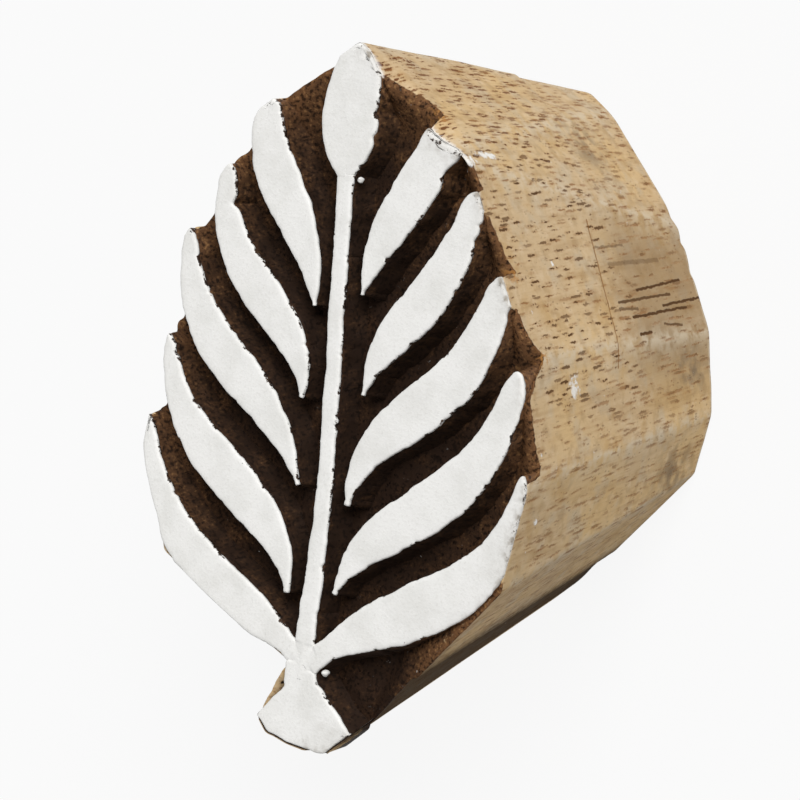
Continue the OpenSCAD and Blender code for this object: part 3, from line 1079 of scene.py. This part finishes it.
print("made", dark_stain.name, "with", len(tree.nodes), "nodes")

# %% [markdown]
# ## Chalk
# The chalk is not a clean white: it has faint grey clouds, pinholes, and rubbed places near its edges
# where the stain shows through. The same chalk also lies as a faint smear on the sides next to the
# leaflet tips, so it is a group as well, with an input for how worn it is.

# %% Node group for the chalk
tree, given, result = new_group("chalk", ["Worn"], ["Color", "Cover", "Height"])
chalk = tree
vector = given["Vector"]
clouds = noise(tree, vector, 260.0, 5.0, 0.62)
grain = noise(tree, vector, 3200.0, 3.0)
crumble = noise(tree, vector, 1500.0, 4.0, 0.65)
white = blend(tree, between(tree, clouds, 0.35, 0.75), colour(240, 239, 236), colour(229, 228, 224))
white = tint(tree, white, between(tree, grain, 0.5, 0.8), 0.35, (205, 202, 196))
lost = calc(tree, "ADD", crumble, times(tree, given["Worn"], 0.42))
tree.links.new(white, result["Color"])
tree.links.new(between(tree, lost, 0.92, 0.82), result["Cover"])
tree.links.new(calc(tree, "ADD", grain, times(tree, crumble, 1.5)), result["Height"])
print("made", chalk.name, "with", len(tree.nodes), "nodes")

# %% [markdown]
# ## Measured marks
# Most of the wood's look is random, but a few marks are single things that a person would know the block
# by: long pores cut lengthwise, a scored line, grey smudges, specks of grit and smears of chalk. They
# are masks about measured places, either soft spots in space or straight strokes on a side laid flat.

# %% Spots and strokes
def spot(tree, vector, place, reach, stretch=1.0):
    """Soft mask about a place in mm: 1 at the place, 0 beyond reach, drawn out along z by stretch."""
    off = vector_calc(tree, "SUBTRACT", vector, tuple(c / 1000 for c in place))
    drawn = vector_calc(tree, "MULTIPLY", off, (1000, 1000, 1000 / stretch))
    return between(tree, vector_calc(tree, "LENGTH", drawn), reach, 0.0)


def flattened(tree, vector, azimuth):
    """Object coordinates laid flat on a side that faces an azimuth: (across, z, 0) in mm, shaken a bit."""
    turn = np.radians(azimuth)
    shake = noise(tree, vector, 1300.0, 2.0)
    across = vector_calc(tree, "DOT_PRODUCT", vector, (-1000 * np.sin(turn), 1000 * np.cos(turn), 0))
    across = calc(tree, "ADD", across, calc(tree, "MULTIPLY_ADD", shake, 0.4, -0.2))
    up = vector_calc(tree, "DOT_PRODUCT", vector, (0, 0, 1000))
    return put(tree, "CombineXYZ", {"X": across, "Y": up}).outputs[0]


def stroke(tree, flat, start, end, half):
    """Mask of a straight stroke: 1 on the line from start to end, 0 beyond half a width from it."""
    run = np.subtract(end, start)
    off = vector_calc(tree, "SUBTRACT", flat, (*start, 0))
    along = vector_calc(tree, "DOT_PRODUCT", off, (*(run / (run @ run)), 0))
    along = calc(tree, "MINIMUM", calc(tree, "MAXIMUM", along, 0.0), 1.0)
    nearest = put(tree, "VectorMath", {0: (*run, 0), "Scale": along}, operation="SCALE").outputs[0]
    return between(tree, vector_calc(tree, "DISTANCE", off, nearest), half, 0.4 * half)


print("helpers for spots and strokes are ready")

# %% Places of the marks
# Place in mm, reach, stretch along the grain
SMEARS = [
    ((14.8, 27.3, 44.0), 2.0, 1.3), ((14.1, 27.7, 40.0), 0.9, 6.0), ((24.3, 4.0, 34.2), 2.5, 0.9),
    ((19.6, 16.7, 33.3), 0.8, 0.8), ((25.7, -2.7, 42.0), 0.8, 0.7), ((24.8, -10.0, 40.6), 0.9, 0.8),
    ((22.5, 8.5, 30.5), 0.6, 0.8), ((12.8, 27.6, 14.0), 0.9, 0.5),
]
SMUDGES = [((10.3, 29.7, 13.6), 5.5, 1.2), ((21.7, -6.6, 7.8), 5.5, 1.5), ((22.0, 5.0, 6.0), 4.5, 1.4)]
GRIT = [((20.4, 15.6, 42.4), 2.0), ((24.2, 7.2, 40.7), 2.0), ((9.5, 31.5, 42.0), 2.0)]
# Long strokes on the flattened right side: ends as (across, z) in mm, half-width, darkness
RIGHT_FACING = 25
LONG_PORES = [
    ((4.2, 15.8), (5.7, 4.5), 0.22, 1.0), ((2.7, 20.8), (3.9, 7.9), 0.22, 0.9),
    ((2.5, 10.4), (3.6, 0.5), 0.22, 1.0), ((1.0, 18.4), (2.4, 4.7), 0.22, 1.0),
    ((2.0, 21.0), (2.0, 16.7), 0.22, 0.7), ((-1.0, 17.8), (-0.7, 15.0), 0.25, 1.0),
    ((0.3, 11.3), (0.2, 7.0), 0.2, 0.8), ((7.2, 20.5), (8.0, 8.5), 0.35, 0.4),
    ((9.1, 23.0), (9.6, 16.0), 0.2, 0.5),
]
SCORED_LINE = ((12.3, 22.7), (-4.6, 23.9), 0.2)
print("measured marks:", len(SMEARS) + len(SMUDGES) + len(GRIT) + len(LONG_PORES) + 1)

# %% [markdown]
# ## Material of the block: bare wood
# The sides are pale tan wood. Golden, grey, pale and brown patches lie over a warm base, then fibres. A
# part of the right side near the back is browner. Edges are rubbed pale, partly as a painted highlight on
# their rounding, and three smudges are grey.

# %% Base of the sawn wood
# Patches over the base: size in mm, detail, low and high limits, share, colour
WOOD_PATCHES = [
    (5.0, 4.0, 0.5, 0.7, 0.55, (184, 150, 100)), (4.0, 5.0, 0.5, 0.68, 0.6, (187, 172, 148)),
    (1.6, 4.0, 0.5, 0.7, 0.4, (212, 190, 158)), (1.9, 5.0, 0.5, 0.7, 0.45, (160, 130, 90)),
]


def new_material(name):
    """An empty material with its Principled shader. Returns material, tree and shader."""
    material = bpy.data.materials.new(name)
    material.use_nodes = True
    return material, material.node_tree, material.node_tree.nodes["Principled BSDF"]


wood, tree, shader = new_material("sawn_wood")
vector = put(tree, "TexCoord").outputs["Object"]
mark = {name: stored(tree, name) for name in block_values}
axis = put(tree, "SeparateXYZ", {"Vector": vector}).outputs
on_right = between(tree, axis["X"], 0.012, 0.015)
rear = times(
    tree, between(tree, axis["Z"], 0.026, 0.014), between(tree, axis["Y"], -0.001, 0.008),
    between(tree, axis["Y"], 0.026, 0.018), on_right)

first_patches = patches(tree, vector, 14.0, 3.0, 0.35, 0.65)
base = blend(tree, first_patches, colour(197, 171, 134), colour(204, 174, 128))
for *patch, share, tone in WOOD_PATCHES:
    base = tint(tree, base, patches(tree, vector, *patch), share, tone)
streaks = fibres(tree, vector, 1.4, 18.0, 3.0)
base = tint(tree, base, between(tree, streaks, 0.5, 0.72), 0.4, (165, 134, 94))
fibre = fibres(tree, vector, 0.25, 4.0, 4.0)
base = tint(tree, base, between(tree, fibre, 0.54, 0.72), 0.2, (146, 112, 76))
base = tint(tree, base, rear, 0.6, (136, 111, 80))
# Pale edges: partly rubbed wood, partly a painted highlight on their rounding
rubbed = times(tree, mark["worn"], patches(tree, vector, 1.5, 3.0, 0.35, 0.6))
base = tint(tree, base, rubbed, 0.75, (206, 192, 168))
grubby = most(tree, [spot(tree, vector, *smudge) for smudge in SMUDGES])
grubby = times(tree, grubby, patches(tree, vector, 1.8, 4.0, 0.35, 0.65))
base = tint(tree, base, grubby, 0.75, (112, 98, 82))
print("base of", wood.name, "has", len(tree.nodes), "nodes")

# %% [markdown]
# ## Material of the block: pores
# Short dark pores stand in clusters, longer faint ones lie between them, and specks fill the gaps. They
# are denser and redder on the upper sides, and calmer near the back and towards the foot. The long pores
# and the scored line come from the measured strokes.

# %% Pores of the sawn wood
near_top = between(tree, axis["Y"], 0.026, 0.031)
low_calm = times(tree, between(tree, axis["Z"], 0.023, 0.015), 0.8)
calm = calc(tree, "MAXIMUM", between(tree, axis["Y"], 0.004, -0.002), low_calm)
cluster = calc(tree, "MULTIPLY_ADD", patches(tree, vector, 6.0, 2.0, 0.35, 0.65), 0.45, 0.42)
cluster = times(tree, cluster, calc(tree, "MULTIPLY_ADD", rear, -0.6, 1.0))
cluster = calc(tree, "MAXIMUM", cluster, times(tree, near_top, 0.95))
more_share = calc(tree, "MULTIPLY_ADD", near_top, 0.5, 0.15)
short_dashes, short_halo = pores(tree, vector, 0.5, 3.3, 0.27, cluster)
more_dashes, more_halo = pores(tree, vector, 0.55, 4.4, 0.27, more_share)
faint_dashes, faint_halo = pores(tree, vector, 0.5, 5.0, 0.27, 0.55)
specks, _ = pores(tree, vector, 0.35, 1.0, 0.27, 0.3)
short_dashes = calc(tree, "MAXIMUM", short_dashes, more_dashes)
short_dashes = times(tree, short_dashes, calc(tree, "MULTIPLY_ADD", calm, -0.7, 1.0))
short_halo = calc(tree, "MAXIMUM", short_halo, more_halo)
flat = flattened(tree, vector, RIGHT_FACING)
long_pores = [times(tree, stroke(tree, flat, *ends), dark) for *ends, dark in LONG_PORES]
long_lines = times(tree, most(tree, long_pores), on_right)
dark_pores = calc(tree, "MAXIMUM", short_dashes, long_lines)
scored = times(tree, stroke(tree, flat, *SCORED_LINE), on_right)

faint_share = calc(tree, "MULTIPLY_ADD", calm, -0.25, 0.62)
faint_share = calc(tree, "MULTIPLY_ADD", near_top, 0.3, faint_share)
sawn = tint(tree, base, faint_halo, 0.35, (160, 116, 72))
sawn = tint(tree, sawn, faint_dashes, faint_share, (130, 86, 48))
sawn = tint(tree, sawn, specks, 0.5, (104, 76, 50))
sawn = tint(tree, sawn, short_halo, 0.5, (144, 100, 58))
sawn = blend(tree, dark_pores, sawn, blend(tree, near_top, colour(86, 60, 37), colour(104, 63, 36)))
sawn = tint(tree, sawn, scored, 0.75, (140, 98, 54))
print("pores of", wood.name, "bring it to", len(tree.nodes), "nodes")

# %% [markdown]
# ## Material of the block: painted shade, stain and chalk
# The lower side is darkened as painted shade. The stored value named carved says where wood turns into
# stained hollow, and noise breaks up that border as a brush does. Chalk dust lies by the leaflet tips,
# and smears of it elsewhere. Last, pores, fibres and chalk give a shallow bump, and the sheen differs
# between wood and stain.

# %% Finish of the sawn wood
def finish_material(tree, shader, tone, roughness, height, strength, depth, gloss):
    """Links colour, roughness and a bump of a depth in metres to the shader, and sets its gloss."""
    bump = put(tree, "Bump", {"Height": height, "Strength": strength, "Distance": depth})
    tree.links.new(tone, shader.inputs["Base Color"])
    tree.links.new(roughness, shader.inputs["Roughness"])
    tree.links.new(bump.outputs[0], shader.inputs["Normal"])
    shader.inputs["Specular IOR Level"].default_value = gloss


ragged = noise(tree, vector, 1500.0, 4.0)
# Painted shade: the lower side is darkened towards (56, 42, 32) and made rougher there
shade_amount = calc(tree, "ADD", mark["low_shade"], calc(tree, "MULTIPLY_ADD", ragged, 0.5, -0.25))
painted_shade = between(tree, shade_amount, 0.0, 0.75)
sawn = tint(tree, sawn, painted_shade, 0.9, (56, 42, 32))
border = calc(tree, "ADD", mark["carved"], calc(tree, "MULTIPLY_ADD", ragged, 0.9, -0.45))
stained = between(tree, border, 0.42, 0.62)
# Painted light: the stain is painted lighter near the mouths by the stored open value
thin = calc(tree, "MULTIPLY_ADD", mark["open"], 0.5, 0.08)
stain = use_group(tree, dark_stain, {"Vector": vector, "Thin": thin})
pits = times(tree, pores(tree, vector, 0.5, 2.5, 0.25, 0.6)[0], stained)
worked = blend(tree, stained, sawn, tint(tree, stain["Color"], pits, 0.8, (16, 10, 8)))
gritty = most(tree, [spot(tree, vector, *grit) for grit in GRIT])
gritty = times(tree, gritty, between(tree, ragged, 0.5, 0.58))
worked = tint(tree, worked, gritty, 0.75, (180, 128, 70))

dust = use_group(tree, chalk, {"Vector": vector, "Worn": calc(tree, "SUBTRACT", 1.2, mark["chalky"])})
dusty = times(tree, dust["Cover"], between(tree, mark["chalky"], 0.15, 0.8))
broken = calc(tree, "MULTIPLY_ADD", noise(tree, vector, 1100.0, 5.0, 0.7), 3.0, -1.5)
smeared = most(tree, [spot(tree, vector, *smear) for smear in SMEARS])
smeared = between(tree, calc(tree, "ADD", smeared, broken), 0.48, 0.95)
white_marks = calc(tree, "MAXIMUM", times(tree, dusty, 0.7), times(tree, smeared, 0.85))
worked = blend(tree, white_marks, worked, dust["Color"])

all_pores = most(tree, [dark_pores, times(tree, faint_dashes, 0.5), scored, pits])
height = calc(tree, "MULTIPLY_ADD", fibre, 0.25, times(tree, all_pores, -0.9))
height = calc(tree, "ADD", height, times(tree, stain["Height"], times(tree, stained, 0.8)))
height = calc(tree, "ADD", height, times(tree, white_marks, 0.5))
wood_shine = calc(tree, "MULTIPLY_ADD", painted_shade, 0.35, calc(tree, "MULTIPLY_ADD", fibre, 0.2, 0.5))
shine = put(tree, "Mix", {0: stained, 2: wood_shine, 3: stain["Roughness"]}).outputs[0]
finish_material(tree, shader, worked, shine, height, 0.6, 0.00014, 0.02)
print("made", wood.name, "with", len(tree.nodes), "nodes")

# %% [markdown]
# ## Material of the raised shapes
# The walls carry only the stain. High on a wall it is browner and down in the hollow darker, as painted
# shade set by the stored depth, and near a mouth it is painted lighter by the stored open value.

# %% Stained walls
stained_wood, tree, shader = new_material("stained_carving")
vector = put(tree, "TexCoord").outputs["Object"]
# Painted shade and light: darker lower on the walls by the stored depth, lighter near the mouths
thin = calc(tree, "MULTIPLY_ADD", stored(tree, "deep"), -0.08, 0.12)
thin = calc(tree, "MULTIPLY_ADD", stored(tree, "open"), 0.5, thin)
stain = use_group(tree, dark_stain, {"Vector": vector, "Thin": thin})
pits, _ = pores(tree, vector, 0.5, 2.4, 0.25, 0.6)
tone = tint(tree, stain["Color"], pits, 0.7, (24, 15, 10))
height = calc(tree, "SUBTRACT", stain["Height"], pits)
finish_material(tree, shader, tone, stain["Roughness"], height, 0.6, 0.00012, 0.12)
print("made", stained_wood.name, "with", len(tree.nodes), "nodes")

# %% [markdown]
# ## Material of the coat
# Chalk is dull, so roughness stays high. The stored nearness to the edge makes it crumble there, and
# what shows through is the dark stain. The tips on the right are scuffed and greyer than the rest.

# %% Chalk coat
chalk_coat, tree, shader = new_material("chalk_coat")
vector = put(tree, "TexCoord").outputs["Object"]
tip_value = stored(tree, "tip")
stretches = patches(tree, vector, 2.6, 2.0, 0.4, 0.62)
crumbly = times(tree, stored(tree, "edge"), calc(tree, "MULTIPLY_ADD", stretches, 0.6, 0.4))
scuffed = times(tree, tip_value, calc(tree, "MULTIPLY_ADD", stretches, 0.45, 0.4))
crumbly = calc(tree, "MAXIMUM", crumbly, scuffed)
crust_look = use_group(tree, chalk, {"Vector": vector, "Worn": crumbly})
bare = use_group(tree, dark_stain, {"Vector": vector, "Thin": 0.15})
rubs = calc(tree, "MULTIPLY_ADD", patches(tree, vector, 1.1, 4.0, 0.46, 0.66), 0.6, 0.25)
white = tint(tree, crust_look["Color"], tip_value, rubs, (140, 130, 116))
tone = blend(tree, crust_look["Cover"], bare["Color"], white)
dull = calc(tree, "MULTIPLY_ADD", crust_look["Cover"], 0.25, 0.65)
finish_material(tree, shader, tone, dull, crust_look["Height"], 0.35, 0.00008, 0.2)
print("made", chalk_coat.name, "with", len(tree.nodes), "nodes")

# %% [markdown]
# ## Joining the looks to the part
# Every piece rides on the part's one body, gets its material, and says which CAD solids it stands for,
# which are hidden.

# %% Ride, replace and assign
for piece, nodes, slot, material in (
    [(block, ["carved_block"], "wood", wood), (ridges, ["carved_block"], "wood", stained_wood)]
    + [(piece, [node], "white_coat", chalk_coat) for node, piece in coats.items()]
    + [(crumbs, [], "white_coat", chalk_coat)]
):
    piece.data.materials.append(material)
    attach(piece, "root")
    if nodes:
        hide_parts(*nodes)
print("pieces on the body:", len(coats) + 3)

# %% [markdown]
# ## Floor and sky
# The block lies on its back on a white floor, as for a catalogue picture, and an even sky fills the
# shade. Both look white to the camera, while the floor still takes the shadow. That needs two answers
# for one surface, so the light path says whether a ray comes from the camera.

# %% White floor and even sky
FLOOR_HALF = 4.0
FLOOR_DROP = 0.0002
FLOOR_GREY = 0.6
FLOOR_WHITE = 0.9
SKY_LIGHT = 0.34


def seen_by_camera(tree):
    """1 for rays from the camera, also by way of a mirror or glass, and 0 for rays that carry light."""
    rays = put(tree, "LightPath").outputs
    return most(tree, [rays["Is Camera Ray"], rays["Is Glossy Ray"], rays["Is Transmission Ray"]])


bpy.context.scene.view_settings.view_transform = "Standard"
corners = np.array([(-1, -1, 0), (1, -1, 0), (1, 1, 0), (-1, 1, 0)], float) * FLOOR_HALF
corners -= np.array([0, 0, FLOOR_DROP])
floor_mesh = bpy.data.meshes.new("floor")
floor_mesh.from_pydata(corners.tolist(), [], [(0, 1, 2, 3)])
floor = add_object("floor", floor_mesh)
floor_look, tree, shader = new_material("white_floor")
shader.inputs["Base Color"].default_value = (FLOOR_GREY, FLOOR_GREY, FLOOR_GREY, 1)
shader.inputs["Roughness"].default_value = 0.9
shader.inputs["Specular IOR Level"].default_value = 0.0
glow = put(tree, "Emission", {"Color": (1, 1, 1, 1), "Strength": 1.0})
white_share = times(tree, seen_by_camera(tree), FLOOR_WHITE)
mixed = put(tree, "MixShader", {0: white_share, 1: shader.outputs[0], 2: glow.outputs[0]})
tree.links.new(mixed.outputs[0], tree.nodes["Material Output"].inputs["Surface"])
floor.data.materials.append(floor_look)

world = bpy.data.worlds.new("sky")
bpy.context.scene.world = world
world.use_nodes = True
tree = world.node_tree
sky = tree.nodes["Background"]
sky.inputs["Color"].default_value = (1, 1, 1, 1)
strength = calc(tree, "MULTIPLY_ADD", seen_by_camera(tree), 1 - SKY_LIGHT, SKY_LIGHT)
tree.links.new(strength, sky.inputs["Strength"])
print("sky lights the block with a strength of", SKY_LIGHT)

# %% [markdown]
# ## Lamp and camera
# One broad lamp stands to the upper right. The camera was worked out from the leaf, which is as good as
# symmetrical: where its left and right tips lie in the picture tells how the block is turned.

# %% Lamp and camera
LAMP_STRENGTH = 2.85
LAMP_SPREAD = 0.6
TOWARDS_LAMP = (0.455, 0.57, 0.684)
SENSOR = 36
LENS = 124.68
CAMERA_BACK = (0.566, 0.093, 0.819)
CAMERA_UP = (-0.121, 0.992, -0.028)
CAMERA_PLACE = (0.176067, 0.028509, 0.286344)


def aim(back, up, place=(0, 0, 0)):
    """Matrix at a place whose z axis points along back and whose y axis is as near to up as it can be."""
    back = np.array(back) / np.linalg.norm(back)
    right = np.cross(up, back)
    right /= np.linalg.norm(right)
    matrix = np.eye(4)
    matrix[:3, :3] = np.stack([right, np.cross(back, right), back], 1)
    matrix[:3, 3] = place
    return Matrix(matrix.tolist())


lamp_data = bpy.data.lights.new("key", "SUN")
lamp_data.energy = LAMP_STRENGTH
lamp_data.angle = LAMP_SPREAD
lamp = add_object("key", lamp_data)
lamp.matrix_world = aim(TOWARDS_LAMP, (0, 1, 0))

camera_data = bpy.data.cameras.new("camera")
camera_data.sensor_width = SENSOR
camera_data.lens = LENS
camera = add_object("camera", camera_data)
camera.matrix_world = aim(CAMERA_BACK, CAMERA_UP, CAMERA_PLACE)
bpy.context.scene.camera = camera
print("camera lens:", camera_data.lens)
